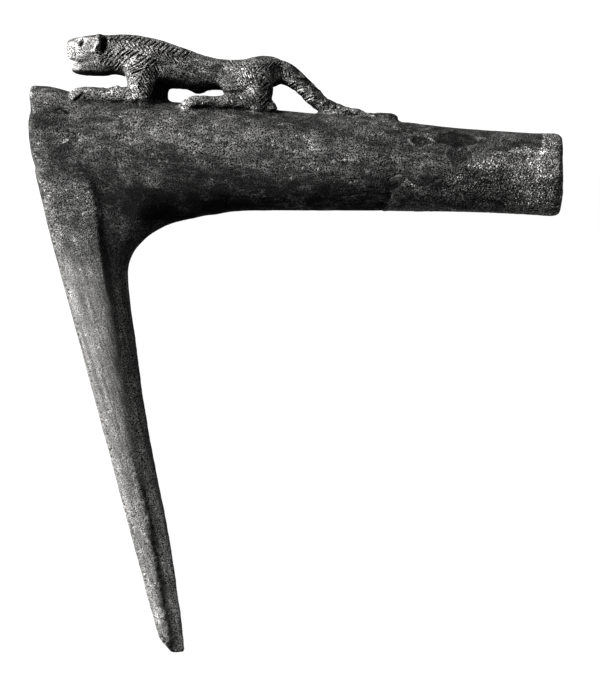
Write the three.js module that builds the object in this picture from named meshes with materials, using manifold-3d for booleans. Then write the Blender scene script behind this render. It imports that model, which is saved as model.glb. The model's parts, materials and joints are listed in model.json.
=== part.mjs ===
// A cast bronze pickaxe head with a crouching lion on its socket, lying on its side.
// Millimetres. While it is being shaped, +X runs along the socket and out of its mouth,
// +Y points from the pick towards the lion and +Z out of the side that faces up when it lies down.
import * as THREE from "three";
import { mergeVertices } from "three/addons/utils/BufferGeometryUtils.js";
import Module from "manifold-3d";

const wasm = await Module();
wasm.setup();

// Socket: an oval tube for the haft, open at the mouth (x = 0) and closed by the pick.
const SOCKET_HALF_WIDTH = 14.2;
const BORE = { halfHeight: 10.9, halfWidth: 10.5, depth: 140, sides: 36 };
const LIP = { round: 2.4, turn: 0.85 };
const CREST = [[-172, 19.5], [-138, 18.3], [-101, 17.4], [-57, 15.4], [-24, 14.0], [0, 14.2]];
const KEEL = [[-160, -20.0], [-108, -18.0], [-91, -17.2], [-56, -15.4], [-24, -14.4], [0, -14.8]];
const FLARE = { from: -108, along: 42, down: 20, steps: 8, sharpness: 0.5 };
const BUTT = { from: -171, to: -180, rise: 2.1 };
const ROOT_PINCH = { from: -122, to: -158, by: 0.8 };
const STRAIGHT_STEP = 16;

// Pick: a four-sided spike whose outer facets run up over the end of the socket.
const BUTT_END = -187.6;
const EDGE_LEAN = 0.325;
const EDGE_BEND = { at: 0.5, softness: 5 };
const FACET_SLOPE = Math.tan(THREE.MathUtils.degToRad(30));
const OUTER_FULLNESS = { corners: 1.45 };
const BUTT_REACH = [[-64, 37], [-30, 10.5], [-18, 10.8], [0, 15.5], [46, 15.5]];
const BUTT_CORNERS = [[-64, 1], [-30, 1.9], [-18, 2.2], [-8, 3.2], [3, 5.5], [46, 5.5]];
const RIDGE = [[-174, -127.6], [-149, -133.4], [-125, -139.4], [-104, -145.2], [-85, -149.6],
  [-62, -154.3], [-38, -159.0], [-10, -163.6]];
const INNER_EDGE = [[-174, -123.0], [-149, -127.8], [-128, -132.4], [-107, -137.8], [-86, -142.7],
  [-62, -147.0], [-40, -149.8], [-10, -150.4]];
const POINT_END = -174.4;
const BROKEN_CORNER = { x: -129.6, y: -172.4, turn: THREE.MathUtils.degToRad(42) };

// A smooth value along an axis, through [place, value] pairs in rising order.
function profile(pairs) {
  const slope = (i) => {
    const [a, b] = [pairs[Math.max(i - 1, 0)], pairs[Math.min(i + 1, pairs.length - 1)]];
    return (b[1] - a[1]) / (b[0] - a[0]);
  };
  return (place) => {
    const x = THREE.MathUtils.clamp(place, pairs[0][0], pairs.at(-1)[0]);
    const i = Math.max(pairs.findLastIndex((p) => p[0] <= x && p !== pairs.at(-1)), 0);
    const [[x0, y0], [x1, y1]] = [pairs[i], pairs[i + 1]];
    const [gap, t] = [x1 - x0, (x - x0) / (x1 - x0)];
    const bend = t * t * (3 - 2 * t);
    const lead = t * (1 - t) * (1 - t) * gap * slope(i);
    const trail = t * t * (1 - t) * gap * slope(i + 1);
    return y0 + (y1 - y0) * bend + lead - trail;
  };
}

const crest = profile(CREST);
const keel = profile(KEEL);
const ridge = profile(RIDGE);
const innerEdge = profile(INNER_EDGE);
const buttReach = profile(BUTT_REACH);
const buttCorners = profile(BUTT_CORNERS);
const softStep = THREE.MathUtils.smoothstep;
const DOWN = new THREE.Vector3(0, -1, 0);

// The outer edge of the pick: upright beside the socket, then a straight lean to the point.
function outerEdge(y) {
  const past = Math.log1p(Math.exp((EDGE_BEND.at - y) / EDGE_BEND.softness));
  return BUTT_END + EDGE_LEAN * EDGE_BEND.softness * past;
}

// How far along the fillet between socket and pick a place is, from 0 to 1.
function flareShare(x) {
  return THREE.MathUtils.clamp((FLARE.from - x) / FLARE.along, 0, 1);
}

// How far that fillet, a quarter of an ellipse, drops below the keel.
function flareDrop(x) {
  return FLARE.down * (1 - Math.sqrt(1 - flareShare(x) ** 2));
}

// One section of a form: its centre and how far it reaches over, under and to each side.
// Corners, for the upper and lower half, is 2 where it is round and 1 where it is four-sided.
function section(x, y, z, high, wide, under = high, corners = [2, 2]) {
  return { at: new THREE.Vector3(x, y, z), reach: new THREE.Vector3(high, under, wide), corners };
}

// A point on a section's rim, from its place on a unit circle.
function rimPoint({ at, reach, corners }, forward, across, below) {
  const power = 2 / corners[below > 0 ? 1 : 0];
  const bulge = (value) => Math.sign(value) * Math.abs(value) ** power;
  const side = new THREE.Vector3(0, 0, 1).addScaledVector(forward, -forward.z).normalize();
  const up = new THREE.Vector3().crossVectors(side, forward);
  const lift = -bulge(below) * (below < 0 ? reach.x : reach.y);
  return at.clone().addScaledVector(side, bulge(across) * reach.z).addScaledVector(up, lift);
}

// A rounded form through a row of sections that stand square to its spine.
// Its ends close like an egg's where blunt is 2 and are nearly flat where it is 8.
function sweep(sections, { around, rows, blunt = 3 }) {
  const spine = new THREE.CatmullRomCurve3(sections.map((s) => s.at));
  const girth = new THREE.CatmullRomCurve3(sections.map((s) => s.reach), false, "catmullrom");
  const geometry = new THREE.SphereGeometry(1, around, rows);
  const place = geometry.getAttribute("position");
  for (let row = 0; row <= rows; row++) {
    const run = -Math.cos((Math.PI * row) / rows);
    const t = (run + 1) / 2;
    const fullness = Math.max(1 - Math.abs(run) ** blunt, 0) ** (1 / blunt);
    const reach = girth.getPoint(t).multiplyScalar(fullness);
    const ring = { at: spine.getPoint(t), reach, corners: [2, 2] };
    for (let column = 0; column <= around; column++) {
      const angle = (2 * Math.PI * (column % around)) / around;
      const point = rimPoint(ring, spine.getTangent(t), -Math.cos(angle), Math.sin(angle));
      place.setXYZ(row * (around + 1) + column, point.x, point.y, point.z);
    }
  }
  return geometry;
}

// A form with one ring of points at each section, all square to one heading, and flat ends.
function loft(sections, around, heading) {
  const rows = sections.length - 1;
  const geometry = new THREE.CylinderGeometry(1, 1, 1, around, rows);
  const place = geometry.getAttribute("position");
  for (let i = 0; i < place.count; i++) {
    const ring = sections[Math.round((0.5 - place.getY(i)) * rows)];
    const point = rimPoint(ring, heading, place.getX(i), place.getZ(i));
    place.setXYZ(i, point.x, point.y, point.z);
  }
  return geometry;
}

// A three.js geometry as a solid that can be joined and cut.
function solid(geometry) {
  const bare = geometry.clone();
  bare.deleteAttribute("normal");
  bare.deleteAttribute("uv");
  const merged = mergeVertices(bare, 1e-3);
  return new wasm.Manifold(new wasm.Mesh({
    numProp: 3,
    vertProperties: new Float32Array(merged.getAttribute("position").array),
    triVerts: new Uint32Array(merged.index.array),
  }));
}

function geometryOf(manifold) {
  const mesh = manifold.getMesh();
  const geometry = new THREE.BufferGeometry();
  geometry.setAttribute("position", new THREE.BufferAttribute(mesh.vertProperties, 3));
  geometry.setIndex(new THREE.BufferAttribute(mesh.triVerts, 1));
  return geometry;
}

const joined = (geometries) => geometries.map(solid).reduce((whole, piece) => whole.add(piece));

// The socket's outside: an oval tube that flares down into the pick and rises a little at the butt.
function socketOutside() {
  const past = 14;
  const flareEnd = FLARE.from - FLARE.along;
  const places = [BUTT_END - past, BUTT_END, BUTT.to, (BUTT.from + BUTT.to) / 2, BUTT.from];
  places.push((BUTT.from + flareEnd) / 2);
  for (let k = 0; k <= FLARE.steps; k++) {
    places.push(FLARE.from - FLARE.along * Math.cos((Math.PI / 2) * (k / FLARE.steps)));
  }
  for (let x = FLARE.from + STRAIGHT_STEP; x < -3 * LIP.round; x += STRAIGHT_STEP) places.push(x);
  places.push(-2.5 * LIP.round, -LIP.round, -0.4 * LIP.round, 0, past);
  const sections = places.map((x) => {
    const nearLip = THREE.MathUtils.clamp(x / LIP.round + 1, 0, 1);
    const worn = LIP.round * (1 - Math.sqrt(1 - LIP.turn * nearLip ** 2));
    const top = crest(x) + BUTT.rise * softStep(-x, -BUTT.from, -BUTT.to) - worn;
    const low = keel(x) - flareDrop(x) + worn;
    const pinch = ROOT_PINCH.by * softStep(-x, -ROOT_PINCH.from, -ROOT_PINCH.to);
    const corners = [2, 2 - FLARE.sharpness * flareShare(x)];
    return section(x, 0, 0, top, SOCKET_HALF_WIDTH - pinch - worn, -low, corners);
  });
  return loft(sections, BORE.sides, new THREE.Vector3(1, 0, 0));
}

// The outer side, from above the butt to beyond the point, as one form to trim with:
// blunt round the butt, a step narrower and nearly flat under it, then two facets to the point.
function outerSide() {
  const [depth, beyond, step] = [32, 3000, 2.6];
  const heights = [46, 16, 8];
  for (let y = 3; y > -64; y -= y > -20 ? step : 3 * step) heights.push(y);
  heights.push(-64, POINT_END - depth / 2);
  const sections = heights.map((y) => {
    const at = outerEdge(y) + depth;
    return section(at, y, 0, beyond, buttReach(y), depth, [1, buttCorners(y)]);
  });
  return loft(sections, 24, DOWN);
}

// The pick before its outer facets are trimmed: a leaning spike with a ridge down each side,
// nearly flat from the ridge inwards and full from the ridge outwards.
function pickBlank() {
  const [start, step, spare, corners] = [-8, 12.8, 1.04, [1.12, OUTER_FULLNESS.corners]];
  const heights = [];
  for (let y = start; y > POINT_END + step / 2; y -= step) heights.push(y);
  heights.push(POINT_END);
  const sections = heights.map((y) => {
    const outward = ridge(y) - outerEdge(y);
    const inward = innerEdge(y) - ridge(y);
    return section(ridge(y), y, 0, inward, outward * FACET_SLOPE, outward * spare, corners);
  });
  return loft(sections, 20, DOWN);
}

// The corner of the point that has broken away.
function brokenCorner() {
  const size = 30;
  const gone = new THREE.BoxGeometry(size, size, size).translate(-size / 2, 0, 0);
  gone.rotateZ(BROKEN_CORNER.turn);
  return gone.translate(BROKEN_CORNER.x, BROKEN_CORNER.y, 0);
}

// The haft's hole, from outside the mouth to its flat floor.
function bore() {
  const overrun = 5;
  const hole = new THREE.CylinderGeometry(1, 1, BORE.depth + overrun, BORE.sides);
  hole.scale(BORE.halfHeight, 1, BORE.halfWidth);
  hole.rotateZ(-Math.PI / 2);
  hole.translate((overrun - BORE.depth) / 2, 0, 0);
  return hole;
}

function pastTheMouth() {
  const size = 60;
  return new THREE.BoxGeometry(size, size, size).translate(size / 2, 0, 0);
}

// The lion. Each section gives x, y, z, then half its depth from the side and half its width.
function torso() {
  return sweep([
    section(-168, 33.4, 0, 6.6, 4.6),
    section(-160, 33.8, 0, 7.3, 5.6),
    section(-152, 33.4, 0, 7.8, 7.0),
    section(-144, 31.1, 0, 8.7, 7.2),
    section(-136, 30.2, 0, 7.4, 6.3),
    section(-128, 28.9, 0, 6.3, 5.5),
    section(-120, 28.5, 0, 5.6, 5.3),
    section(-112, 28.9, 0, 6.0, 5.8),
    section(-105, 30.0, 0, 6.1, 5.6),
    section(-98.5, 30.2, 0, 4.6, 4.4),
  ], { around: 22, rows: 26, blunt: 5 });
}

function skull() {
  return sweep([
    section(-157, 35.0, 0, 5.4, 5.4),
    section(-162, 35.2, 0, 5.4, 6.0),
    section(-167, 35.3, 0, 4.8, 5.6),
    section(-171, 34.9, 0, 4.4, 4.4),
    section(-175.5, 34.5, 0, 4.1, 2.9),
  ], { around: 20, rows: 16, blunt: 5 });
}

function lowerJaw() {
  return sweep([
    section(-158, 29.6, 0, 3.6, 4.8),
    section(-164, 29.0, 0, 3.2, 4.6),
    section(-169.5, 28.2, 0, 2.4, 3.6),
    section(-173.5, 28.3, 0, 1.8, 2.4),
  ], { around: 16, rows: 12, blunt: 4 });
}

function ear(side) {
  return sweep([
    section(-163.4, 40.4, 4.2 * side, 1.3, 1.6),
    section(-163.9, 37.8, 5.1 * side, 1.7, 1.8),
    section(-164.6, 34.2, 5.4 * side, 1.2, 1.2),
  ], { around: 10, rows: 8, blunt: 2.5 });
}

// The metal left between the forelegs, from the chest down to the socket.
function brisket() {
  return sweep([
    section(-147.0, 32.0, 0, 7.4, 5.0),
    section(-146.0, 24.0, 0, 7.0, 4.6),
    section(-145.8, 12.0, 0, 7.2, 4.6),
  ], { around: 16, rows: 10, blunt: 4 });
}

// The small fold under the belly.
function bellyFold() {
  return sweep([
    section(-132.0, 24.0, 0, 1.6, 1.8),
    section(-128.4, 23.2, 0, 1.8, 2.0),
    section(-125.4, 24.2, 0, 1.4, 1.8),
  ], { around: 10, rows: 8 });
}

function foreleg(side) {
  const upperArm = sweep([
    section(-150.5, 35.5, 4.0 * side, 5.6, 3.2),
    section(-149.4, 30.0, 4.8 * side, 6.0, 3.5),
    section(-148.2, 24.0, 5.4 * side, 5.4, 3.3),
    section(-147.6, 15.5, 5.8 * side, 4.4, 3.0),
  ], { around: 14, rows: 10 });
  const forearm = sweep([
    section(-144.0, 19.6, 5.7 * side, 3.5, 3.1),
    section(-154.0, 19.2, 5.5 * side, 3.2, 2.9),
    section(-163.5, 19.0, 5.3 * side, 2.9, 2.8),
    section(-169.0, 18.9, 5.2 * side, 2.9, 3.1),
    section(-173.6, 18.0, 5.1 * side, 2.5, 2.8),
  ], { around: 14, rows: 14, blunt: 4 });
  return [upperArm, forearm];
}

function hindLeg(side) {
  const thigh = sweep([
    section(-102.5, 32.2, 3.6 * side, 4.4, 2.8),
    section(-109.5, 29.4, 4.8 * side, 6.2, 3.5),
    section(-115.6, 26.2, 5.4 * side, 5.6, 3.4),
    section(-120.4, 22.4, 5.6 * side, 3.6, 2.8),
  ], { around: 14, rows: 12 });
  const ham = sweep([
    section(-105.2, 31.5, 3.8 * side, 4.8, 2.8),
    section(-107.6, 25.5, 5.0 * side, 5.4, 3.2),
    section(-107.3, 20.5, 5.4 * side, 4.9, 3.0),
    section(-106.8, 14.5, 5.6 * side, 4.4, 2.8),
  ], { around: 14, rows: 10 });
  const foot = sweep([
    section(-101.4, 17.0, 5.2 * side, 1.6, 1.8),
    section(-105.0, 18.6, 5.4 * side, 2.5, 2.6),
    section(-113.0, 18.9, 5.6 * side, 2.8, 2.8),
    section(-123.0, 18.4, 5.8 * side, 2.4, 2.7),
    section(-129.5, 17.7, 6.0 * side, 3.1, 3.1),
    section(-134.0, 16.8, 6.0 * side, 2.7, 2.8),
  ], { around: 14, rows: 14, blunt: 4 });
  return [thigh, ham, foot];
}

function tail() {
  return sweep([
    section(-105.0, 31.2, 0, 3.8, 3.6),
    section(-99.4, 30.2, 0, 3.8, 3.4),
    section(-95.2, 28.0, 0, 3.2, 3.0),
    section(-91.0, 24.6, 0, 2.8, 2.7),
    section(-86.8, 20.9, 0, 2.8, 2.6),
    section(-81.2, 17.9, 0, 2.6, 2.5),
    section(-70.0, 16.3, 0, 2.2, 2.4),
    section(-58.6, 15.6, 0, 2.3, 2.5),
  ], { around: 14, rows: 26, blunt: 6 });
}

function lion() {
  const pieces = [torso(), skull(), lowerJaw(), brisket(), bellyFold(), tail()];
  for (const side of [1, -1]) pieces.push(ear(side), ...foreleg(side), ...hindLeg(side));
  return joined(pieces);
}

function casting() {
  const blank = joined([socketOutside(), pickBlank()]);
  const trimmed = blank.intersect(solid(outerSide())).subtract(solid(brokenCorner()));
  return trimmed.add(lion()).subtract(solid(bore())).subtract(solid(pastTheMouth()));
}

// The roll about the socket at which both the socket and the point of the pick touch the ground.
function restingRoll(geometry) {
  const place = geometry.getAttribute("position");
  const pickStarts = -100;
  const lowest = (roll, onPick) => {
    let low = Infinity;
    for (let i = 0; i < place.count; i++) {
      if (place.getY(i) < pickStarts !== onPick) continue;
      low = Math.min(low, place.getY(i) * Math.sin(roll) + place.getZ(i) * Math.cos(roll));
    }
    return low;
  };
  let [small, large] = [0, THREE.MathUtils.degToRad(10)];
  for (let step = 0; step < 30; step++) {
    const roll = (small + large) / 2;
    if (lowest(roll, true) > lowest(roll, false)) small = roll;
    else large = roll;
  }
  return large;
}

const bronze = new THREE.MeshStandardMaterial({ color: 0x4a4844, roughness: 0.55, metalness: 0.6 });
const shape = geometryOf(casting());
shape.rotateX(restingRoll(shape));

const pickaxeHead = new THREE.Mesh(shape, bronze);
pickaxeHead.name = "pickaxe_head";

// The origin is on the ground, under the middle of the head.
const bounds = new THREE.Box3().setFromObject(pickaxeHead);
const middle = bounds.getCenter(new THREE.Vector3());
pickaxeHead.position.set(-middle.x, -middle.y, -bounds.min.z);

const pickaxe = new THREE.Group();
pickaxe.add(pickaxeHead);

export default pickaxe;
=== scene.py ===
import json
import math

import bmesh
import bpy
import numpy as np
from mathutils import Matrix, Vector


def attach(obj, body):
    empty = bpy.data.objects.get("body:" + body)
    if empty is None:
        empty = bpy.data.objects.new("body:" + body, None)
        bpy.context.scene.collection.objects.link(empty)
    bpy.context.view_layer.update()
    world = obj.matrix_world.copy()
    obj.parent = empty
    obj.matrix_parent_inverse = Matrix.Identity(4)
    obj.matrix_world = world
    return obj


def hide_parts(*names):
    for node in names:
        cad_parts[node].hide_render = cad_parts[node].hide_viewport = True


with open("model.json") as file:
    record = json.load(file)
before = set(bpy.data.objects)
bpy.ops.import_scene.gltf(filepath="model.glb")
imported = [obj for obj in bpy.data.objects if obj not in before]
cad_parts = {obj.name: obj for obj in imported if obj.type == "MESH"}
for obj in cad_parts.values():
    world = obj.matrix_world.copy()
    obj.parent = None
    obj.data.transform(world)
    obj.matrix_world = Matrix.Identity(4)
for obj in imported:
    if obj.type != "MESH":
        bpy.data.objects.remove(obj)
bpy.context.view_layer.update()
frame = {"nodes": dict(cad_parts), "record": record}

# A cast bronze pickaxe head with a crouching lion on its socket, lying on its side.
# The head's own frame, in millimetres: first along the socket and out of its mouth, which is at 0,
# then up towards the lion, then out of the side that faces up.
MM = 0.001
mounts = {mount["name"]: mount for mount in frame["record"]["mounts"]}
openings = {space["name"]: space["box_m"] for space in frame["record"]["physics"]["openings"]}
core = np.mean(openings["haft_socket_core"], axis=0)
rim = np.array(mounts["mouth_rim"]["pos_m"])
mouth = np.array([rim[0], core[1], core[2]])
along = np.array([1.0, 0.0, 0.0])
upward = (rim - mouth) / np.linalg.norm(rim - mouth)
outward = np.cross(along, upward)
head_axes = np.array([along, upward, outward])
CHISEL_SEED = 7
rng = np.random.default_rng(CHISEL_SEED)


def to_head(points):
    return (points - mouth) @ head_axes.T / MM


def to_world(points):
    return mouth + (np.asarray(points) @ head_axes) * MM


def smooth_step(value, low, high):
    share = np.clip((value - low) / (high - low), 0, 1)
    return share * share * (3 - 2 * share)


def fade(value, low, high):
    """1 up to the low value, then falling to 0 at the high one."""
    return 1 - smooth_step(value, low, high)


def band(value, low, high, far, end):
    """Rises from 0 at low to 1 at high, and falls from 1 at far to 0 at end."""
    return smooth_step(value, low, high) * fade(value, far, end)


def hill(gap, width):
    """1 where there is no gap, falling away smoothly over the width."""
    return np.exp(-(gap / width) ** 2)


def oval(points, u, v, wide, tall):
    """0 in the middle of an oval of the side view, and 1 on its edge."""
    return np.hypot((points[:, 0] - u) / wide, (points[:, 1] - v) / tall)


# Camera: square to the side of the head, turned a little so that the socket slopes down to its mouth.
# The picture is 677 pixels tall, and a pixel is 0.35 mm on the head.
PICTURE_HEIGHT = 677
PIXEL = 0.35
VIEW_TILT = math.radians(3)
VIEW_MIDDLE = (-88.6, -62.1, 0)
CAMERA_DISTANCE = 1400
SENSOR_SIZE = 36
CAMERA_REACH = 20


def make_camera():
    data = bpy.data.cameras.new("camera")
    data.sensor_width = SENSOR_SIZE
    data.lens = SENSOR_SIZE * CAMERA_DISTANCE / (PICTURE_HEIGHT * PIXEL)
    data.clip_end = CAMERA_REACH
    right = along * math.cos(VIEW_TILT) + upward * math.sin(VIEW_TILT)
    above = upward * math.cos(VIEW_TILT) - along * math.sin(VIEW_TILT)
    camera = bpy.data.objects.new("camera", data)
    bpy.context.scene.collection.objects.link(camera)
    place = to_world(VIEW_MIDDLE) + outward * CAMERA_DISTANCE * MM
    turn = Matrix((right, above, outward)).transposed().to_4x4()
    camera.matrix_world = Matrix.Translation(place) @ turn
    bpy.context.scene.camera = camera


# Lights: panels that aim at the middle of the head, each with a direction in the head's own frame,
# a width, a height and a power.
LIGHTS = [
    ("window light", (-0.72, 0.52, 0.46), 0.25, 0.25, 14),
    ("side light", (-0.99, 0.0, 0.12), 0.4, 0.08, 10),
    ("fill light", (0.85, 0.3, 0.42), 0.5, 0.5, 0.35),
    ("table light", (0.25, -0.97, 0.05), 0.6, 0.1, 0.3),
]
LIGHT_DISTANCE = 0.9
LIGHT_AIM = (-120, -30, 0)
ROOM_GREY = (0.035, 0.035, 0.035, 1)


def make_light(name, direction, wide, tall, power):
    data = bpy.data.lights.new(name, "AREA")
    data.shape = "RECTANGLE"
    data.size = wide
    data.size_y = tall
    data.energy = power
    light = bpy.data.objects.new(name, data)
    bpy.context.scene.collection.objects.link(light)
    heading = Vector(np.array(direction) @ head_axes).normalized()
    across = Vector(outward).cross(heading).normalized()
    turn = Matrix((across, heading.cross(across), heading)).transposed().to_4x4()
    place = Vector(to_world(LIGHT_AIM)) + heading * LIGHT_DISTANCE
    light.matrix_world = Matrix.Translation(place) @ turn


def light_scene():
    for light in LIGHTS:
        make_light(*light)
    world = bpy.data.worlds.new("room")
    world.use_nodes = True
    world.node_tree.nodes["Background"].inputs["Color"].default_value = ROOM_GREY
    bpy.context.scene.world = world
    bpy.context.scene.view_settings.view_transform = "Standard"


# Floor: white paper, just under the lowest place on the skin.
FLOOR_HALF_SIZE = 6
FLOOR_DROP = 0.4
PAPER_GREY = (0.12, 0.12, 0.12, 1)
PAPER_GLOW = (1, 1, 1, 1)


def make_floor():
    shape = bmesh.new()
    bmesh.ops.create_grid(shape, x_segments=1, y_segments=1, size=FLOOR_HALF_SIZE)
    bmesh.ops.translate(shape, verts=shape.verts, vec=(0, 0, -FLOOR_DROP * MM))
    mesh = bpy.data.meshes.new("floor")
    shape.to_mesh(mesh)
    shape.free()
    floor = bpy.data.objects.new("floor", mesh)
    bpy.context.scene.collection.objects.link(floor)
    floor.visible_diffuse = False
    floor.visible_glossy = False
    paper = bpy.data.materials.new("white paper")
    paper.use_nodes = True
    surface = paper.node_tree.nodes["Principled BSDF"]
    surface.inputs["Base Color"].default_value = PAPER_GREY
    surface.inputs["Roughness"].default_value = 1
    surface.inputs["Specular IOR Level"].default_value = 0
    surface.inputs["Emission Color"].default_value = PAPER_GLOW
    surface.inputs["Emission Strength"].default_value = 1
    mesh.materials.append(paper)


# The casting's skin: an even mesh over the CAD shape that can take fine relief.
DOUBLES = 0.001
VOXEL = 0.36
PIECE_TRIANGLES = 190000
# The share of the way that a place moves in one round of evening, and the rounds over the whole skin,
# then off the lion, and last, more lightly, on the finer lion.
EVENING = 0.9
SKIN_ROUNDS = 10
PLAIN_ROUNDS = 14
LION_EVENING = 0.7
LION_ROUNDS = 3


class Skin:
    """A piece's surface in the head's own frame."""

    def __init__(self, piece):
        self.piece = piece
        self.read()

    def read(self):
        mesh = self.piece.data
        place = np.empty(len(mesh.vertices) * 3, np.float32)
        mesh.vertices.foreach_get("co", place)
        self.points = to_head(place.reshape(-1, 3).astype(float))
        ends = np.empty(len(mesh.edges) * 2, np.int32)
        mesh.edges.foreach_get("vertices", ends)
        self.ends = ends.reshape(-1, 2)
        self.degree = np.maximum(np.bincount(ends, minlength=len(self.points)), 1)
        self.read_normals()

    def read_normals(self):
        mesh = self.piece.data
        facing = np.empty(len(mesh.vertices) * 3, np.float32)
        mesh.vertex_normals.foreach_get("vector", facing)
        self.normals = facing.reshape(-1, 3).astype(float) @ head_axes.T

    def write(self):
        mesh = self.piece.data
        mesh.vertices.foreach_set("co", to_world(self.points).astype(np.float32).ravel())
        mesh.update()
        self.read_normals()

    def relax(self, share, rounds):
        """Draws places towards the middle of their neighbours, each by its share of the way."""
        share = np.broadcast_to(share, len(self.points))
        ends = self.ends[(share[self.ends] > 0).any(axis=1)]
        used, local = np.unique(ends, return_inverse=True)
        first, second = local.reshape(-1, 2).T
        places = self.points[used]
        count = len(used)
        for _ in range(rounds):
            for axis in places.T:
                total = np.bincount(first, axis[second], count) + np.bincount(second, axis[first], count)
                axis += share[used] * (total / self.degree[used] - axis)
        self.points[used] = places
        self.write()

    def push(self, height):
        """Moves places out by a height, or in where it is below 0."""
        self.points += self.normals * height[:, None]
        self.write()

    def sideways(self, low, high):
        """How squarely each place faces out of one side or the other."""
        return smooth_step(np.abs(self.normals[:, 2]), low, high)


def applied(piece):
    """Puts a piece's modifiers into its mesh."""
    shown = piece.evaluated_get(bpy.context.evaluated_depsgraph_get())
    mesh = bpy.data.meshes.new_from_object(shown)
    piece.modifiers.clear()
    piece.data = mesh


def cast_skin():
    """The CAD shape with its loose triangles merged and its surface meshed evenly."""
    shape = bmesh.new()
    shape.from_mesh(frame["nodes"]["pickaxe_head"].data)
    bmesh.ops.remove_doubles(shape, verts=shape.verts, dist=DOUBLES * MM)
    mesh = bpy.data.meshes.new("lion_pickaxe")
    shape.to_mesh(mesh)
    shape.free()
    piece = bpy.data.objects.new("lion_pickaxe", mesh)
    bpy.context.scene.collection.objects.link(piece)
    even = piece.modifiers.new("even skin", "REMESH")
    even.mode = "VOXEL"
    even.voxel_size = VOXEL * MM
    applied(piece)
    return piece


# The socket under the lion: its half width, and how high its crest is along it.
SOCKET_HALF_WIDTH = 14.2
SOCKET_CREST = [(-180, 21.8), (-171, 19.6), (-138, 18.3), (-101, 17.4), (-57, 15.4)]
# Where the lion is: along the socket, up from below its feet, and out to its sides.
LION_FRONT = -179
LION_BACK = -56
LION_FOOT = 5
LION_HALF_WIDTH = 11
# Where the lion starts and where it is whole, for a socket's oval of size 1.
LION_START = 1.005
LION_WHOLE = 1.07


def on_lion(points):
    """1 on the lion and 0 on the socket and pick, from how far a place is outside the socket's oval."""
    along_lion = (points[:, 0] < LION_BACK) & (points[:, 0] > LION_FRONT) & (points[:, 1] > LION_FOOT)
    crest = np.interp(points[:, 0], *np.array(SOCKET_CREST).T)
    outside = np.hypot(points[:, 1] / crest, points[:, 2] / SOCKET_HALF_WIDTH)
    return along_lion * smooth_step(outside, LION_START, LION_WHOLE)


def refine_lion(piece, skin):
    """Halves the mesh on the lion, where the finest relief is."""
    fine = (on_lion(skin.points) > 0) & (np.abs(skin.points[:, 2]) < LION_HALF_WIDTH)
    shape = bmesh.new()
    shape.from_mesh(piece.data)
    shape.verts.ensure_lookup_table()
    edges = [edge for edge in shape.edges if fine[edge.verts[0].index] and fine[edge.verts[1].index]]
    bmesh.ops.subdivide_edges(shape, edges=edges, cuts=1, use_grid_fill=True)
    shape.to_mesh(piece.data)
    shape.free()
    skin.read()


# Large odd numbers that scatter the values of a noise.
CELL_STEPS = np.array([73856093, 19349663, 83492791])
SEED_STEP = 15485863
FIRST_STIR = 1274126177
SECOND_STIR = 2246822519
# The largest whole numbers of 32 and of 16 bits.
WORD = 0xFFFFFFFF
HALF_WORD = 0xFFFF


def noise(points, size, seed):
    """Smooth random values from -1 to 1 that change over about the given size."""
    cell = np.floor(points / size).astype(np.int64)
    part = points / size - cell
    part = part * part * (3 - 2 * part)
    total = np.zeros(len(points))
    for corner in np.ndindex(2, 2, 2):
        key = (cell + corner) @ CELL_STEPS + seed * SEED_STEP
        key = (key ^ (key >> 13)) * FIRST_STIR & WORD
        key = (key ^ (key >> 16)) * SECOND_STIR & WORD
        value = ((key ^ (key >> 15)) & HALF_WORD) / (HALF_WORD / 2) - 1
        share = np.prod(np.where(np.array(corner) == 1, part, 1 - part), axis=1)
        total += value * share
    return total


def rough(points, layers):
    """Layers of noise on top of each other, each with its height, its size and its seed."""
    return sum(height * noise(points, size, seed) for height, size, seed in layers)


# Chisel work on the lion, in side view and the same on both sides.
# Rows of strokes: a path, then the pitch, the lean in degrees and the length of the strokes, and
# whether they turn with the path.
MANE = [
    ([(-160.0, 39.4), (-152.4, 39.7), (-142.9, 37.4), (-133, 34.6)], 1.75, 47, 2.7),
    ([(-158.4, 37.4), (-150.9, 36.6), (-143.5, 35.0), (-137.0, 32.4)], 1.75, -48, 3.2),
    ([(-157.0, 34.6), (-151.5, 33.9), (-147.9, 32.4), (-143.5, 31.0)], 1.7, 42, 2.8),
    ([(-150.6, 30.8), (-149.3, 27.0)], 0.95, 27, 4.4),
    ([(-142.5, 29.9), (-144.4, 27.7), (-145.6, 23.4), (-146.9, 20.5)], 1.1, -62, 3.2),
    ([(-145.5, 29.6), (-147.4, 25.4), (-148.8, 21.0)], 1.2, -58, 2.6),
]
NECK = [
    ([(-160.8, 34.2), (-156.4, 31.9), (-153.6, 30.6)], 1.3, 52, 2.2),
    ([(-163.2, 31.2), (-158.6, 30.2), (-155.4, 28.8)], 1.5, 48, 2.0),
]
HAUNCH = [
    ([(-118.1, 33.0), (-110.2, 30.1)], 1.2, -50, 2.6),
    ([(-113.6, 28.6), (-109.2, 26.6)], 1.05, -65, 3.2),
    ([(-108.6, 31.0), (-101.6, 32.8)], 1.25, 52, 3.2),
]
HIND_LEG = [
    ([(-109.6, 26.6), (-108.6, 18.4)], 1.5, -52, 2.6),
    ([(-106.2, 29.0), (-105.0, 18.2)], 1.7, 54, 2.6),
    ([(-118.5, 19.3), (-110.5, 19.4)], 2.2, -55, 1.9),
]
TAIL = [
    ([(-101.0, 31.0), (-96.6, 28.8)], 1.4, -70, 4.0),
    ([(-97.0, 27.2), (-88.0, 20.6)], 2.6, 64, 2.2, True),
]
# Each group of rows with the width and depth of its strokes, and how unevenly they are set.
STROKES = [
    (MANE, 0.34, 0.46, 1),
    (NECK, 0.34, 0.26, 1),
    (HAUNCH, 0.32, 0.36, 1),
    (HIND_LEG, 0.36, 0.28, 3),
    (TAIL, 0.34, 0.3, 1),
]
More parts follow.
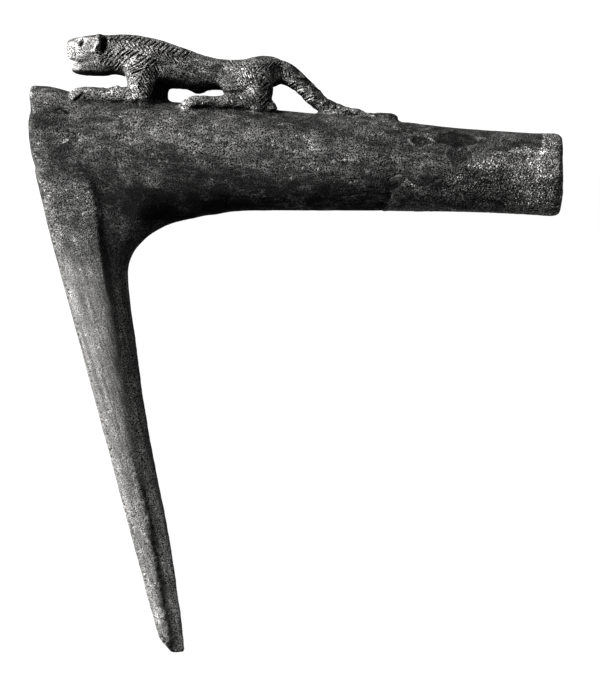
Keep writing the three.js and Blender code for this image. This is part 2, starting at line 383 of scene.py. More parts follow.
# How far the lean in degrees and the place of an even stroke stray, and its shortest and longest share.
LEAN_STRAY = 4
PLACE_STRAY = 0.12
SHORTEST = 0.85
LONGEST = 1.15
# In stroke widths, how far a groove reaches from its middle, and where its burr is and how wide that is.
GROOVE_REACH = 1.15
BURR_PLACE = 1.6
BURR_WIDTH = 0.45
# How tall the burr is, for a stroke of depth 1.
BURR = 0.6


def path_points(path, pitch):
    """Places one pitch apart along a path, with the path's heading at each."""
    path = np.array(path, float)
    legs = np.linalg.norm(np.diff(path, axis=0), axis=1)
    run = np.concatenate([[0], np.cumsum(legs)])
    stops = np.arange(pitch / 2, run[-1], pitch)
    places = np.stack([np.interp(stops, run, axis) for axis in path.T], axis=1)
    ahead = np.stack([np.interp(stops + 0.5, run, axis) for axis in path.T], axis=1)
    behind = np.stack([np.interp(stops - 0.5, run, axis) for axis in path.T], axis=1)
    headings = np.arctan2(*(ahead - behind).T[::-1])
    return places, headings


def stroke_row(loose, path, pitch, lean, length, follow=False):
    """Short strokes side by side along a path, all leaning much the same way."""
    strokes = []
    for place, heading in zip(*path_points(path, pitch)):
        angle = math.radians(lean + rng.normal(0, LEAN_STRAY * loose)) + (heading if follow else 0)
        direction = np.array([math.cos(angle), math.sin(angle)])
        half = 0.5 * length * rng.uniform(SHORTEST, LONGEST) * direction
        middle = place + rng.normal(0, PLACE_STRAY * loose, 2)
        strokes.append((middle - half, middle + half))
    return strokes


def line_distance(points, line):
    """How far each place is from a line, in side view."""
    nearest = np.full(len(points), np.inf)
    for start, end in zip(line[:-1], line[1:]):
        start = np.array(start, float)
        step = np.array(end, float) - start
        share = np.clip((points[:, :2] - start) @ step / (step @ step), 0, 1)
        gap = np.linalg.norm(points[:, :2] - start - share[:, None] * step, axis=1)
        nearest = np.minimum(nearest, gap)
    return nearest


def chisel(skin, rows, width, depth, loose):
    """Cuts rows of strokes into the sides of the lion, each stroke with a slight burr."""
    strokes = [stroke for row in rows for stroke in stroke_row(loose, *row)]
    flank = skin.sideways(0.15, 0.45)
    lion = np.flatnonzero((on_lion(skin.points) > 0.5) & (flank > 0))
    places = skin.points[lion]
    height = np.zeros(len(lion))
    for start, end in strokes:
        middle = (start + end) / 2
        reach = np.linalg.norm(end - start) / 2 + 3 * width
        near = np.flatnonzero(np.max(np.abs(places[:, :2] - middle), axis=1) < reach)
        gap = line_distance(places[near], [start, end]) / width
        groove = -depth * np.clip(GROOVE_REACH - gap, 0, 1)
        burr = BURR * depth * hill(gap - BURR_PLACE, BURR_WIDTH)
        height[near] = np.minimum(height[near], groove) + burr
    total = np.zeros(len(skin.points))
    total[lion] = height
    skin.push(total * flank)


def carve_lion(skin):
    for group in STROKES:
        chisel(skin, *group)


# Creases where the lion's parts meet: a line, how far the evening is full and fades, and its rounds.
CREASES = [
    ([(-122.5, 23.0), (-120.0, 28.0), (-115.0, 32.2), (-107.0, 34.5)], 1.5, 4.5, 220),
    ([(-119.3, 22.3), (-114.0, 22.2), (-110.6, 23.4)], 0.8, 2.2, 80),
    ([(-157.0, 30.0), (-154.0, 36.0), (-146.5, 37.0), (-142.5, 30.0)], 1.0, 3.0, 60),
]
CHEEK = (-163.0, 30.7, 6.6, 3.4)
CHEEK_ROUNDS = 220
LIMB_LUMPS = [(0.28, 2.4, 31), (0.16, 1.1, 32)]


def shape_lion(skin):
    """Fills the creases where the lion's parts meet and roughens its limbs."""
    lion = on_lion(skin.points)
    skin.relax(EVENING * lion * fade(oval(skin.points, *CHEEK), 0.7, 1.1), CHEEK_ROUNDS)
    for line, full, end, rounds in CREASES:
        skin.relax(EVENING * lion * fade(line_distance(skin.points, line), full, end), rounds)
    limbs = fade(skin.points[:, 1], 21.5, 24.5)
    tail = smooth_step(skin.points[:, 0], -97, -93)
    skin.push(lion * np.maximum(limbs, tail) * rough(skin.points, LIMB_LUMPS))


# Lines of the lion's face, in side view.
EYE = [(-170.6, 36.1), (-169.7, 37.7)]
LIPS = [(-174.6, 30.9), (-171.2, 30.6), (-167.8, 30.9)]
UNDER_LIP = [(-172.6, 29.9), (-171.6, 29.8)]
MUZZLE_FOLD = [(-172.6, 35.0), (-171.8, 32.6)]
BEHIND_EAR = [(-162.2, 38.9), (-162.1, 37.0), (-162.7, 34.6)]
EAR = [(-164.4, 39.8), (-164.2, 37.4), (-165.1, 34.8)]
EAR_TIP = (-164.4, 41.0, 1.0, 1.0)
EAR_TIP_HEIGHT = 0.6
# Cuts in the cheek, and the ear with the hollow behind it: a line, how far it rises and its width.
CHEEK_CUTS = [(EYE, -1.3, 0.62), (LIPS, -0.7, 0.42), (UNDER_LIP, -0.5, 0.6), (MUZZLE_FOLD, -0.16, 0.5)]
EAR_LINES = [(BEHIND_EAR, -2.1, 1.0), (EAR, 0.9, 0.75)]
# The rim round the eye: how far it is from the eye's line, its height and its width.
EYE_RIM_PLACE = 1.3
EYE_RIM_HEIGHT = 0.15
EYE_RIM_WIDTH = 0.4


def carve_face(skin):
    points = skin.points
    cheek = smooth_step(np.abs(points[:, 2]), 0.8, 1.8)
    flank = skin.sideways(0.2, 0.6)
    head = on_lion(points) * smooth_step(-points[:, 0], 157.5, 159)
    height = EYE_RIM_HEIGHT * cheek * hill(line_distance(points, EYE) - EYE_RIM_PLACE, EYE_RIM_WIDTH)
    for line, rise, width in CHEEK_CUTS:
        height += rise * cheek * hill(line_distance(points, line), width)
    for line, rise, width in EAR_LINES:
        height += rise * flank * hill(line_distance(points, line), width)
    height += EAR_TIP_HEIGHT * hill(oval(points, *EAR_TIP), 1)
    skin.push(height * head)


# Lumps and hollows of the paws and tail: place along and up, half width and half height.
FOREPAW = (-172.0, 17.4, 1.9, 1.7)
ELBOW_KNOB = (-156.8, 22.4, 0.8, 0.8)
HIND_PAW = (-132.9, 16.2, 2.2, 2.2)
UNDER_HIND_LEG = (-127.6, 15.6, 2.8, 1.1)
HEEL = (-102.0, 17.6, 0.9, 0.9)
TAIL_END = (-62.0, 16.8, 3.4, 1.8)
WRIST = [(-168.4, 19.0), (-170.6, 17.0), (-172.0, 15.8)]
WRIST_DEPTH = 0.55
WRIST_WIDTH = 0.5
HIND_TOES = [[(-134.6, 19.0), (-131.4, 18.4)], [(-133.6, 17.0), (-131.6, 16.6)],
             [(-131.8, 20.4), (-129.8, 18.4)]]
TOE_DEPTH = 0.4
TOE_WIDTH = 0.32


def carve_paws(skin):
    points = skin.points
    side = skin.sideways(0.1, 0.5)
    lion = on_lion(points)
    everywhere = np.ones(len(points))
    height = -WRIST_DEPTH * side * hill(line_distance(points, WRIST), WRIST_WIDTH)
    lumps = [(FOREPAW, 0.9, side), (ELBOW_KNOB, 0.5, lion), (HIND_PAW, 1.1, side),
             (UNDER_HIND_LEG, -1.6, side * lion), (HEEL, 0.9, everywhere), (TAIL_END, 0.9, everywhere)]
    for place, rise, share in lumps:
        height += rise * share * hill(oval(points, *place), 1)
    for toe in HIND_TOES:
        height -= TOE_DEPTH * side * lion * hill(line_distance(points, toe), TOE_WIDTH)
    skin.push(height)


# The pick and the socket.
OUTER_BORDER = [(-185.0, 5.0), (-184.0, -6.3), (-181.7, -16.0), (-178.3, -26.3), (-176.5, -32.2),
                (-171.2, -49.5), (-165.7, -66.7), (-160.0, -83.9), (-153.8, -101.1),
                (-148.4, -118.4), (-142.9, -135.6), (-137.0, -152.8)]
RIDGE = [(-176.0, -3.0), (-170.2, -4.7), (-167.4, -8.2), (-165.4, -10.6), (-162.4, -18.0),
         (-160.5, -29.9), (-158.0, -43.1), (-153.5, -62.3), (-149.2, -84.8), (-145.4, -104.2),
         (-139.0, -124.9), (-133.4, -149.1), (-128.5, -169.9)]
LOWER_RIDGE = RIDGE[9:]
RIDGE_ROUNDS = 90
ROOT_ROUNDS = 240
VALLEY_DEPTH = 1.3


def right_of(points, line):
    """How far each place is to the right of a line that runs down, in side view."""
    line = np.array(line)[::-1]
    return points[:, 0] - np.interp(points[:, 1], line[:, 1], line[:, 0])


def carve_pick(skin):
    """Rounds the ridge of the pick, more so at its root, and hollows the root beside it."""
    points = skin.points
    down = -points[:, 1]
    beside = right_of(points, RIDGE)
    skin.relax(EVENING * band(down, 16, 34, 95, 130) * fade(np.abs(beside), 3, 6), RIDGE_ROUNDS)
    skin.relax(EVENING * band(beside, 3, 6, 26, 34) * band(down, 2, 10, 40, 70), ROOT_ROUNDS)
    down = -points[:, 1]
    beside = right_of(points, RIDGE)
    valley = band(beside, -0.6, 2.4, 5, 20) * band(down, 4, 18, 38, 66)
    skin.push(-VALLEY_DEPTH * valley * skin.sideways(0.15, 0.5))


# Nicks in the back edge of the butt: place along and up, half height and depth.
BUTT_NICKS = [(-187.5, 12.8, 3.0, 0.9), (-185.1, -6.0, 2.0, 0.6)]
BUTT_CRACK = [(-177.7, 12.9), (-175.9, 13.4), (-174.5, 12.6), (-173.1, 12.0)]
CRACK_DEPTH = 0.6
CRACK_WIDTH = 0.35
BUTT_SCRATCH = [(-173.9, 1.4), (-172.2, 2.4)]
SCRATCH_HEIGHT = 0.35
SCRATCH_WIDTH = 0.4
TIP_BREAK = [(-131.5, -168.5), (-129.5, -171.8), (-126.8, -173.6)]
# How far the outline is drawn out at the pick's two edges, in the curve under the socket, further
# along it, and over the tail.
INNER_EDGE_GROWTH = 0.9
OUTER_EDGE_GROWTH = 0.65
CURVE_GROWTH = 0.9
SOCKET_GROWTH = 0.3
TAIL_GROWTH = 0.75
# How far it is drawn in at the mouth's upper corner and at the tip.
MOUTH_TRIM = 0.65
TIP_TRIM = 1.2


def true_outline(skin):
    """Draws the outline out again where evening the skin drew it in, trims it, and nicks the butt."""
    points = skin.points
    down = -points[:, 1]
    beside = right_of(points, RIDGE)
    wider = INNER_EDGE_GROWTH * smooth_step(beside, 0.5, 5.0)
    wider -= OUTER_EDGE_GROWTH * smooth_step(-beside, 0.5, 4.5)
    points[:, 0] += wider * smooth_step(down, 12, 30)
    under = band(down, 2, 14, 34, 50) * band(points[:, 0], -158, -146, -30, -10)
    lessening = (CURVE_GROWTH - SOCKET_GROWTH) * smooth_step(points[:, 0], -122, -108)
    points[:, 1] -= under * (CURVE_GROWTH - lessening)
    points[:, 0] -= MOUTH_TRIM * smooth_step(points[:, 0], -6, -1) * smooth_step(points[:, 1], -8, 6)
    points[:, 0] -= TIP_TRIM * smooth_step(down, 172.4, 174.8) * smooth_step(points[:, 0], -127, -123.5)
    for u, v, tall, deep in BUTT_NICKS:
        reach = hill(points[:, 1] - v, tall) * fade(points[:, 0] - u, 1, 5)
        points[:, 0] += deep * reach * (1 + 0.5 * noise(points, 1.5, 41))
    skin.write()
    tail = on_lion(points) * band(points[:, 0], -114, -106, -74, -68)
    skin.push(TAIL_GROWTH * tail * smooth_step(skin.normals[:, 1], 0.1, 0.6))


def mark_butt(skin):
    """Opens the crack and raises the scratch on the side of the butt."""
    near_side = smooth_step(skin.points[:, 2], 0, 3)
    height = -CRACK_DEPTH * hill(line_distance(skin.points, BUTT_CRACK), CRACK_WIDTH)
    height += SCRATCH_HEIGHT * hill(line_distance(skin.points, BUTT_SCRATCH), SCRATCH_WIDTH)
    skin.push(height * near_side)


# The upper edge of the crust that runs from the middle of the socket to its mouth.
CRUST_EDGE = [(-62.0, -16.0), (-58.1, -8.5), (-54.7, -5.8), (-50.1, -6.7), (-45.9, -6.1), (-41.1, -4.1),
              (-35.0, -1.3), (-28.9, 2.9), (-22.1, 6.7), (-15.2, 8.5), (-12.3, 7.9), (-10.2, 7.0),
              (-8.4, 8.2), (-7.9, 11.7), (-7.4, 18.0)]
# Scars left in the smooth patina: place along and up, half width, half height, ring, sink and shade.
SCARS = [(-53.5, 13.4, 6.0, 1.2, 0.45, 0.05, 0.1), (-49.6, 8.5, 3.9, 1.9, 0.5, 0.2, 0.5),
         (-37.5, 9.8, 8.6, 2.9, 0.08, 0.14, 0.68), (-36.5, 4.6, 4.6, 4.2, 0.05, 0.1, 0.4)]
CRUST_RAGGED = [(0.7, 3.2, 11), (0.5, 1.3, 12)]
CRUST_HEIGHT = 0.12
CRUST_LIP = 0.22
# How far the metal's layers reach along, up and out, and how deep and wide the cracks between them are.
LAYER_SIZES = [11, 1.9, 1.9]
LAYER_CRACK_DEPTH = 0.3
LAYER_CRACK_WIDTH = 0.05


def scar_edge(points, u, v, wide, tall):
    """How far each place is outside a scar's ragged edge."""
    ahead = (points[:, 0] - u) / wide
    narrow = tall * (1 - 0.45 * np.clip(ahead, -0.2, 1))
    ring = np.hypot(ahead, (points[:, 1] - v) / narrow) - 1
    return (ring + 0.25 * noise(points, 2.1, 14)) * tall


def crust_share(points):
    """1 where the socket is crusted, below a ragged edge, and 0 elsewhere."""
    edge = np.interp(points[:, 0], *np.array(CRUST_EDGE).T)
    outside = smooth_step(np.hypot(points[:, 1], points[:, 2]), 11.2, 12.2)
    along_socket = smooth_step(points[:, 0], -63, -60)
    inside = edge - points[:, 1] + rough(points, CRUST_RAGGED)
    return smooth_step(inside, -0.2, 0.2) * outside * along_socket


def crust_socket(skin):
    """Raises the crust, rings the scars and opens fine cracks along the lower socket."""
    points = skin.points
    crust = crust_share(points)
    lip = CRUST_LIP * crust * (1 - crust) * 4 * smooth_step(noise(points, 2.2, 15), -0.3, 0.5)
    height = CRUST_HEIGHT * crust * (1 + 0.5 * noise(points, 1.1, 13)) + lip
    near_side = smooth_step(points[:, 2], 0, 3)
    for u, v, wide, tall, ring, sink, _ in SCARS:
        beyond = scar_edge(points, u, v, wide, tall)
        broken = smooth_step(noise(points, 1.7, 16), -0.7, 0.4)
        height += near_side * ring * broken * hill(beyond, 0.4)
        height -= near_side * sink * fade(beyond, -0.4, 0.1)
    lower = band(-points[:, 1], 0, 4, 14, 20) * smooth_step(points[:, 0], -128, -112) * (1 - crust)
    cracks = hill(noise(points / LAYER_SIZES, 1, 17), LAYER_CRACK_WIDTH)
    height -= LAYER_CRACK_DEPTH * lower * cracks * smooth_step(noise(points, 9, 18), -0.2, 0.3)
    skin.push(height)


def pit(skin, line, pitch, spread, radius, depth):
    """Small pits scattered along a line of the side view, on both sides."""
    height = np.zeros(len(skin.points))
    for place, _ in zip(*path_points(line, pitch)):
        middle = place + rng.normal(0, spread, 2)
        size = radius * rng.uniform(0.5, 1.5)
        near = np.flatnonzero(np.max(np.abs(skin.points[:, :2] - middle), axis=1) < 2 * size)
        gap = np.linalg.norm(skin.points[near, :2] - middle, axis=1) / size
        height[near] = np.minimum(height[near], -depth * rng.uniform(0.5, 1.2) * hill(gap, 1))
    skin.push(height * skin.sideways(0.1, 0.4))


CASTING_WAVES = [(0.10, 7.0, 1), (0.06, 2.8, 2)]
LION_ROUGHNESS = [(0.05, 1.3, 3), (0.04, 0.7, 4)]


def roughen(skin):
    """Gives the skin the slight waves of a casting, and the lion a finer roughness."""
    points = skin.points
    skin.push(rough(points, CASTING_WAVES) + on_lion(points) * rough(points, LION_ROUGHNESS))


def mark(piece, name, values):
    """Keeps a value for each place on a piece, for its finish to read."""
    attribute = piece.data.attributes.new(name, "FLOAT", "POINT")
    attribute.data.foreach_set("value", values.astype(np.float32))


# Paler and darker patches of patina, and some of painted shade: place along and up, half width, half height
# and gain.
PATINA_AND_SHADE_PATCHES = [
    (-147.9, 6.1, 6.5, 5.0, 0.55),
    (-128.9, 5.3, 7.0, 5.0, 0.65),
    (-116.7, 5.6, 6.0, 5.0, 0.6),
    (-92.0, 3.1, 10.0, 5.0, 0.45),
    (-92.5, 12.2, 12.0, 2.4, -0.45),
    (-179.6, 16.7, 6.0, 3.0, 0.4),
    (-180.0, 10.0, 6.5, 3.6, -0.55),
    (-175.3, 12.2, 3.2, 1.6, -0.5),
    (-173.0, 1.9, 1.3, 0.8, 1.5),
    (-172.2, 16.4, 1.8, 1.6, 1.2),
    # Painted shadow on the ledge where the butt meets the pick's outer facet.
    (-174.4, -3.4, 4.0, 3.4, -0.5),
    (-167.8, -7.9, 4.2, 3.6, -0.5),
    # Painted shade in the hollow right of the pick's ridge, then in the curve under the socket's root.
    (-157.4, -18.9, 6.5, 11.0, -0.5),
    (-144.0, -18.0, 11.0, 6.5, -0.9),
    # Paler and darker patches of patina follow.
    (-167.3, -31.0, 6.0, 8.0, -0.45),
    (-117.3, -15.1, 16.0, 4.0, -0.5),
    (-50.0, 2.0, 9.0, 5.0, 0.5),
    (-20.0, 11.0, 9.0, 3.0, 0.6),
    (-26.0, 5.0, 7.0, 3.0, 0.5),
    (-178.0, 4.0, 11.0, 9.0, -0.3),
    (-139.1, -1.5, 10.0, 4.0, -0.4),
    (-132.4, -161.3, 1.8, 2.6, 1.2),
    (-129.0, -171.8, 2.8, 2.2, -0.85),
]
# The same on the lion, its paler parts first: mostly painted light and painted shade, with a few patches
# that are only darker.
LION_LIGHT_AND_SHADE_PATCHES = [
    # Painted light where the lamps would fall on the face, lower jaw, shoulder, forearm, forepaw, thigh,
    # knee and hind paw.
    (-169.5, 35.0, 7.5, 6.0, 2.9),
    (-170.5, 32.8, 5.5, 2.4, 0.9),
    (-172.0, 28.4, 2.6, 2.0, 2.2),
    (-152.5, 27.5, 4.0, 7.0, 0.5),
    (-158.0, 19.0, 12.0, 4.0, 0.5),
    (-171.2, 18.8, 2.6, 3.2, 1.1),
    (-112.4, 26.2, 4.0, 4.2, 2.2),
    (-115.5, 22.6, 5.0, 1.4, 0.8),
    (-132.7, 17.2, 2.8, 3.4, 1.1),
    # Painted highlights along the tail's lower side and its base.
    (-96.5, 27.3, 2.6, 1.7, 2.0),
    (-93.3, 24.4, 2.4, 1.7, 2.4),
    (-89.6, 21.8, 2.2, 1.6, 1.6),
    (-82.9, 17.4, 2.2, 1.2, 1.3),
    (-70.3, 17.8, 1.6, 1.2, 1.2),
    # Painted shadow behind the ear, and painted shade in the eye, behind the foreleg and under the jaw.
    (-162.2, 37.0, 1.5, 3.2, -0.8),
    (-170.2, 36.9, 0.9, 1.4, -0.95),
    (-142.0, 20.5, 4.5, 6.5, -0.95),
    (-163.5, 26.4, 8.5, 1.1, -0.9),
    # Darker at the back of the lower jaw.
    (-162.0, 29.2, 4.5, 2.4, -0.3),
    # Painted shade on the hind leg.
    (-105.5, 22.5, 4.6, 7.0, -0.6),
    # Darker on the top of the haunch.
    (-113.0, 33.2, 5.0, 2.6, -0.5),
    # Painted shade on the tail's upper side and in the recess at its base.
    (-95.5, 31.6, 3.0, 2.0, -0.65),
    (-91.0, 28.6, 2.4, 2.0, -0.75),
    (-87.5, 25.5, 2.2, 2.0, -0.75),
    (-84.5, 22.6, 2.2, 1.6, -0.6),
    (-75.5, 17.0, 2.2, 1.0, -0.7),
    # Darker at the tail's end.
    (-62.5, 17.0, 4.5, 1.6, -0.6),
]


# How far a worn place stands proud, or a hollow one is sunk, and the rounds of evening that show it.
WEAR_HEIGHT = 0.2
WEAR_ROUNDS = 8
# How pale the socket is, and how much paler the pick, the lion, the crust and the crust at the mouth.
SOCKET_PALE = 0.46
PICK_PALE = 0.86
LION_PALE = 0.34
CRUST_PALE = 0.25
MOUTH_PALE = 0.95
PALEST = 3.0
# Painted shade under the socket, with paler islands of patina in it, and painted shade under the lion.
SOCKET_PAINTED_SHADE = 0.76
ISLAND_LIGHT = 0.55
BELLY_PAINTED_SHADE = 0.9
ISLANDS = [(1, 3.0, 23), (0.5, 1.2, 24)]
# Painted rim light on the socket's lower edge, painted light on the pick's two lower facets, and painted
# shadow beside its ridge, with more lower down.
LOWER_EDGE_PAINTED_RIM = 1.6
INNER_FACET_PAINTED_LIGHT = 0.8
OUTER_FACET_PAINTED_LIGHT = 0.15
RIDGE_PAINTED_SHADOW = 0.35
LOWER_RIDGE_PAINTED_SHADOW = 0.5
RIDGE_RAGGED = [(0.9, 2.2, 25), (0.7, 0.9, 26)]
PATCH_RAGGED = [(0.3, 4.0, 21), (0.2, 1.5, 22)]
# How gritty the socket is, how much less so the pick, the face, the smooth patina and the crust, and
# how much more so the lion, the pick's lower half and its inner facet.
SOCKET_GRIT = 1.95
PICK_SMOOTH = 1.5
FACE_SMOOTH = 1.2
PATINA_SMOOTH = 0.8
CRUST_SMOOTH = 0.5
LION_GRIT = 0.15
LOWER_PICK_GRIT = 0.15
INNER_FACET_GRIT = 0.6
LOWER_FACET_SMOOTH = 0.35
GRITTIEST = 2.1


def mark_wear(skin):
    """Marks where the skin is hollow and where it is worn, from how proud it stands."""
    points = skin.points.copy()
    skin.relax(EVENING, WEAR_ROUNDS)
    proud = np.sum((points - skin.points) * skin.normals, axis=1)
    skin.points = points
    skin.write()
    mark(skin.piece, "hollow", np.clip(-proud / WEAR_HEIGHT, 0, 1))
    mark(skin.piece, "worn", np.clip(proud / WEAR_HEIGHT, 0, 1))


def patch_tone(points, patches, share, ragged, full, end):
    """How much paler or darker the patches make each place."""
    tone = np.ones(len(points))
    for u, v, wide, tall, gain in patches:
        tone *= 1 + gain * share * fade(oval(points, u, v, wide, tall) + ragged, full, end)
    return tone


def pick_painted_light(points):
    """Painted light on the pick's two lower facets and painted shadow just right of its ridge."""
    down = -points[:, 1]
    beside = right_of(points, RIDGE)
    lower = smooth_step(down, 95, 125)
    tone = 1 + INNER_FACET_PAINTED_LIGHT * smooth_step(down, 105, 135) * smooth_step(beside, 1.0, 2.5)
    tone *= 1 + OUTER_FACET_PAINTED_LIGHT * smooth_step(down, 85, 110) * fade(beside, -1.5, 0.5)
    # Painted shadow just right of the ridge, ragged lower down.
    ridge = hill(beside + lower * rough(points, RIDGE_RAGGED) - 0.8, 1.5)
    tone *= 1 - (RIDGE_PAINTED_SHADOW + LOWER_RIDGE_PAINTED_SHADOW * lower) * smooth_step(down, 0, 8) * ridge
    return tone


def mark_patina(skin):
    """Marks how pale the patina is, with painted light and painted shade worked into it."""
    points = skin.points
    down = -points[:, 1]
    downward = -skin.normals[:, 1]
    near_side = smooth_step(points[:, 2], -2, 2)
    crust = crust_share(points)
    lion = on_lion(points)
    socket = smooth_step(points[:, 0], -150, -130)
    pick = smooth_step(down, 8, 60) * (1 - socket * (down < 25))
    pale = SOCKET_PALE + PICK_PALE * pick + LION_PALE * lion
    pale += crust * (CRUST_PALE + MOUTH_PALE * smooth_step(points[:, 0], -34, -8))
    islands = smooth_step(rough(points, ISLANDS), 0.05, 0.6)
    # Painted shade over the lower half of the socket, lighter where the patina has paler islands.
    socket_underside_shade = socket * smooth_step(down, 2, 9) * (down < 30) * (1 - crust)
    pale *= 1 - (SOCKET_PAINTED_SHADE - ISLAND_LIGHT * islands) * socket_underside_shade
    # Painted shade on the lion's downward faces, less of it under the muzzle.
    muzzle = smooth_step(-points[:, 0], 159, 163) * smooth_step(points[:, 1], 28.5, 30.5)
    pale *= 1 - BELLY_PAINTED_SHADE * lion * (1 - 0.8 * muzzle) * smooth_step(downward, 0.15, 0.7)
    # Painted light on the pick's lower facets and painted shadow beside its ridge.
    pale *= pick_painted_light(points)
    # Painted rim light along the socket's lower edge, where it faces down.
    painted_rim = socket * (1 - skin.sideways(0.15, 0.45)) * smooth_step(downward, 0.5, 0.9)
    pale *= 1 + LOWER_EDGE_PAINTED_RIM * painted_rim
    for u, v, wide, tall, _, _, shade in SCARS:
        pale *= 1 - shade * near_side * fade(scar_edge(points, u, v, wide, tall), -0.5, 0.1)
    ragged = rough(points, PATCH_RAGGED)
    # Patches of patina and painted shade, off the lion.
    pale *= patch_tone(points, PATINA_AND_SHADE_PATCHES, near_side * (1 - lion), ragged, 0.6, 1.4)
    # Painted light and painted shade on the lion.
    pale *= patch_tone(points, LION_LIGHT_AND_SHADE_PATCHES, lion * (0.3 + 0.7 * near_side), 0.4 * ragged, 0.5, 1.1)
    mark(skin.piece, "pale", np.minimum(pale, PALEST))


def mark_grit(skin):
    """Marks where the skin is crusted, gritty or streaked."""
    points = skin.points
    down = -points[:, 1]
    crust = crust_share(points)
    lion = on_lion(points)
    mark(skin.piece, "crust", crust * smooth_step(points[:, 0], -64, -30))
    smooth_patina = smooth_step(points[:, 0], -66, -56) * (1 - crust) * (down < 20)
    face = lion * smooth_step(-points[:, 0], 163, 168) * smooth_step(points[:, 1], 25, 28)
    grit = SOCKET_GRIT - PICK_SMOOTH * smooth_step(down, 8, 48)
    grit += LOWER_PICK_GRIT * smooth_step(down, 90, 120)
    grit += LION_GRIT * lion - FACE_SMOOTH * face - PATINA_SMOOTH * smooth_patina - CRUST_SMOOTH * crust
    inner_facet = smooth_step(right_of(points, RIDGE), 0.5, 2.5) * smooth_step(down, 30, 60)
    grit += (INNER_FACET_GRIT - LOWER_FACET_SMOOTH * smooth_step(down, 95, 125)) * inner_facet
    mark(skin.piece, "grit", np.clip(grit, 0, GRITTIEST))
    mark(skin.piece, "streak", smooth_step(down, 18, 45))


def thin_out(piece):
    """Merges the mesh where it is smooth, and keeps it dense where the relief is."""
    piece.data.calc_loop_triangles()
    thin = piece.modifiers.new("thin out", "DECIMATE")
    thin.ratio = PIECE_TRIANGLES / len(piece.data.loop_triangles)
    applied(piece)


class Finish:
    """A material's nodes, with the patterns that the bronze is made of. Sizes are in millimetres."""

    def __init__(self, name):
        self.material = bpy.data.materials.new(name)
        self.material.use_nodes = True
        self.tree = self.material.node_tree
        self.surface = self.tree.nodes["Principled BSDF"]
        self.place = self.node("TexCoord").outputs["Object"]

    def feed(self, socket, value):
        """Links a node's output to a socket, or sets the socket to a plain value."""
        if isinstance(value, bpy.types.NodeSocket):
            self.tree.links.new(value, socket)
        else:
            socket.default_value = value

    def node(self, kind, settings=None, **inputs):
        node = self.tree.nodes.new("ShaderNode" + kind)
        for name, value in (settings or {}).items():
            setattr(node, name, value)
        for name, value in inputs.items():
            self.feed(node.inputs[name.replace("_", " ")], value)
        return node

    def maths(self, operation, first, second):
        node = self.node("Math", {"operation": operation})
        self.feed(node.inputs[0], first)
        self.feed(node.inputs[1], second)
        return node.outputs["Value"]

    def times(self, first, *others):
        for other in others:
            first = self.maths("MULTIPLY", first, other)
        return first

    def blend(self, first, second, share):
        """From the first value to the second, by a share that may pass 1."""
        step = self.times(self.maths("SUBTRACT", second, first), share)
        return self.maths("ADD", first, step)

    def scale(self, value, low, high, bottom, top):
        """The value mapped from low and high to bottom and top, and held between them."""
        node = self.node("MapRange", Value=value, From_Min=low, From_Max=high, To_Min=bottom, To_Max=top)
        return node.outputs["Result"]

    def swing(self, pattern, bottom, top):
        """A noise pattern mapped to bottom and top over the middle of its values, where most of them are."""
        return self.scale(pattern, 0.35, 0.65, bottom, top)

    def mark(self, name):
        return self.node("Attribute", {"attribute_name": name}).outputs["Fac"]

    def share(self, value, bottom, top):
        """A value that goes from 0 to 1, mapped to bottom and top."""
        return self.scale(value, 0, 1, bottom, top)

    def speckle(self, size, detail):
        scale = 1 / (size * MM)
        node = self.node("TexNoise", Vector=self.place, Scale=scale, Detail=detail, Roughness=0.6)
        return node.outputs["Fac"]

    def cells(self, size):
        return self.node("TexVoronoi", Vector=self.place, Scale=1 / (size * MM)).outputs

    def drawn_out(self, sizes, turn, detail, twist):
        """A noise that is longer one way than another, turned in the plane that the head lies on."""
        lengths = [size * MM for size in sizes]
        heading = (0, 0, math.radians(turn))
        turned = self.node("Mapping", {"vector_type": "TEXTURE"}, Vector=self.place, Rotation=heading,
                           Scale=lengths)
        node = self.node("TexNoise", Vector=turned.outputs["Vector"], Scale=1, Detail=detail,
                         Distortion=twist)
        return node.outputs["Fac"]


# Dark bronze: the sizes of its patterns, the way its streaks run in degrees, how far the painted shade in
# its recesses reaches, its gloss and its colour.
CLOUD_SIZE = 13
MOTTLE_SIZE = 3.6
GRAIN_SIZE = 0.4
CRUMB_SIZE = 0.8
SPECK_SIZE = 1.9
PICK_STREAK = (1.2, 22, 1.2)
PICK_HEADING = 19.3
SOCKET_STREAK = (9, 2.6, 2.6)
SOCKET_HEADING = -3
RECESS_SHADE_REACH = 9
BUMP_HEIGHT = 0.45
LEAST_CONTRAST = 0.05
BARE_METAL = 0.2
SHEEN = 0.14
BRONZE = (0.106, 0.1045, 0.1025)


def scattered_specks(finish, clouds):
    """Bright specks in some cells of a pattern, more of them where the clouds are thick."""
    cells = finish.cells(SPECK_SIZE)
    chosen = finish.scale(cells["Color"], 0.52, 0.6, 0, 1)
    middle = finish.scale(cells["Distance"], 0.14, 0.3, 1, 0)
    return finish.times(middle, chosen, finish.scale(clouds, 0.42, 0.58, 0.15, 1))


def broad_tone(finish, clouds, mottle):
    """Clouds and swirls on the socket and lion, and long streaks down the pick."""
    streak = finish.mark("streak")
    tone = finish.times(finish.swing(clouds, 0.7, 1.3), finish.swing(mottle, 0.7, 1.3))
    tone = finish.blend(tone, 1, finish.times(streak, 0.6))
    along_socket = finish.drawn_out(SOCKET_STREAK, SOCKET_HEADING, 5, 1.2)
    along_pick = finish.drawn_out(PICK_STREAK, PICK_HEADING, 3, 0)
    swirls = finish.swing(along_socket, 0.45, 1.55)
    streaks = finish.swing(along_pick, 0.64, 1.36)
    return finish.times(tone, finish.blend(swirls, streaks, streak))


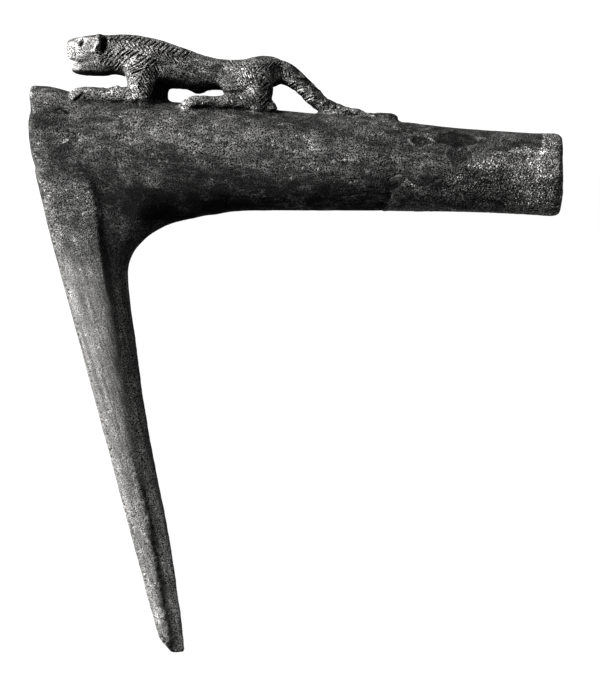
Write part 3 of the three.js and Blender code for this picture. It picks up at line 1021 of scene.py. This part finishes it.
def make_bronze():
    finish = Finish("dark bronze")
    clouds = finish.speckle(CLOUD_SIZE, 3)
    mottle = finish.speckle(MOTTLE_SIZE, 4)
    grains = finish.speckle(GRAIN_SIZE, 1)
    crumbs = finish.scale(finish.cells(CRUMB_SIZE)["Distance"], 0.1, 0.62, 1.75, 0.42)
    specks = scattered_specks(finish, clouds)
    grit = finish.mark("grit")
    crust = finish.mark("crust")
    coarse = finish.times(grit, finish.swing(mottle, 0.6, 1.25))
    contrast = finish.blend(1, finish.scale(grains, 0.44, 0.56, 0, 2.35), coarse)
    contrast = finish.maths("MAXIMUM", contrast, LEAST_CONTRAST)
    contrast = finish.times(contrast, finish.blend(1, crumbs, crust))
    bright = finish.share(finish.times(specks, grit), 1, 3)
    hollow = finish.share(finish.mark("hollow"), 1, 0.2)
    worn = finish.share(finish.mark("worn"), 1, 2.4)
    broad = broad_tone(finish, clouds, mottle)
    tone = finish.times(broad, contrast, bright, finish.mark("pale"), hollow, worn)
    # Painted shade: the colour darkens almost to black where the head's own parts shut a place in.
    recess_shade = finish.node("AmbientOcclusion", {"samples": 8, "only_local": True}, Distance=RECESS_SHADE_REACH * MM)
    tone = finish.times(tone, finish.scale(recess_shade.outputs["AO"], 0.12, 0.55, 0.04, 1))
    colour = finish.node("VectorMath", {"operation": "SCALE"}, Scale=tone)
    finish.feed(colour.inputs[0], BRONZE)
    height = finish.blend(grains, finish.times(crumbs, 0.35), crust)
    height = finish.maths("ADD", height, finish.times(specks, 0.4))
    bump = finish.node("Bump", Height=height, Strength=finish.times(grit, 0.6), Distance=BUMP_HEIGHT * MM)
    surface = finish.surface.inputs
    finish.feed(surface["Base Color"], colour.outputs["Vector"])
    finish.feed(surface["Roughness"], finish.scale(mottle, 0.3, 0.7, 0.62, 0.42))
    finish.feed(surface["Normal"], bump.outputs["Normal"])
    finish.feed(surface["Metallic"], BARE_METAL)
    finish.feed(surface["Specular IOR Level"], SHEEN)
    return finish.material


# Pits: a line, then their pitch along it, how far they scatter, their radius and their depth.
PITS = [
    (TIP_BREAK, 0.9, 0.4, 0.9, 0.9),
    (OUTER_BORDER, 1.5, 0.45, 0.34, 0.35),
    (OUTER_BORDER, 3.5, 3.0, 0.3, 0.2),
    (LOWER_RIDGE, 0.8, 0.8, 0.36, 0.24),
]


def make_pickaxe():
    piece = cast_skin()
    skin = Skin(piece)
    lion = on_lion(skin.points)
    skin.relax(EVENING, SKIN_ROUNDS)
    skin.relax(EVENING * (1 - lion), PLAIN_ROUNDS)
    refine_lion(piece, skin)
    skin.relax(LION_EVENING * on_lion(skin.points), LION_ROUNDS)
    shape_lion(skin)
    carve_pick(skin)
    true_outline(skin)
    roughen(skin)
    carve_face(skin)
    carve_paws(skin)
    carve_lion(skin)
    crust_socket(skin)
    mark_butt(skin)
    for row in PITS:
        pit(skin, *row)
    mark_wear(skin)
    mark_patina(skin)
    mark_grit(skin)
    thin_out(piece)
    piece.data.shade_smooth()
    piece.data.materials.clear()
    piece.data.materials.append(make_bronze())
    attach(piece, "root")
    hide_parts("pickaxe_head")


make_camera()
make_floor()
light_scene()
make_pickaxe()
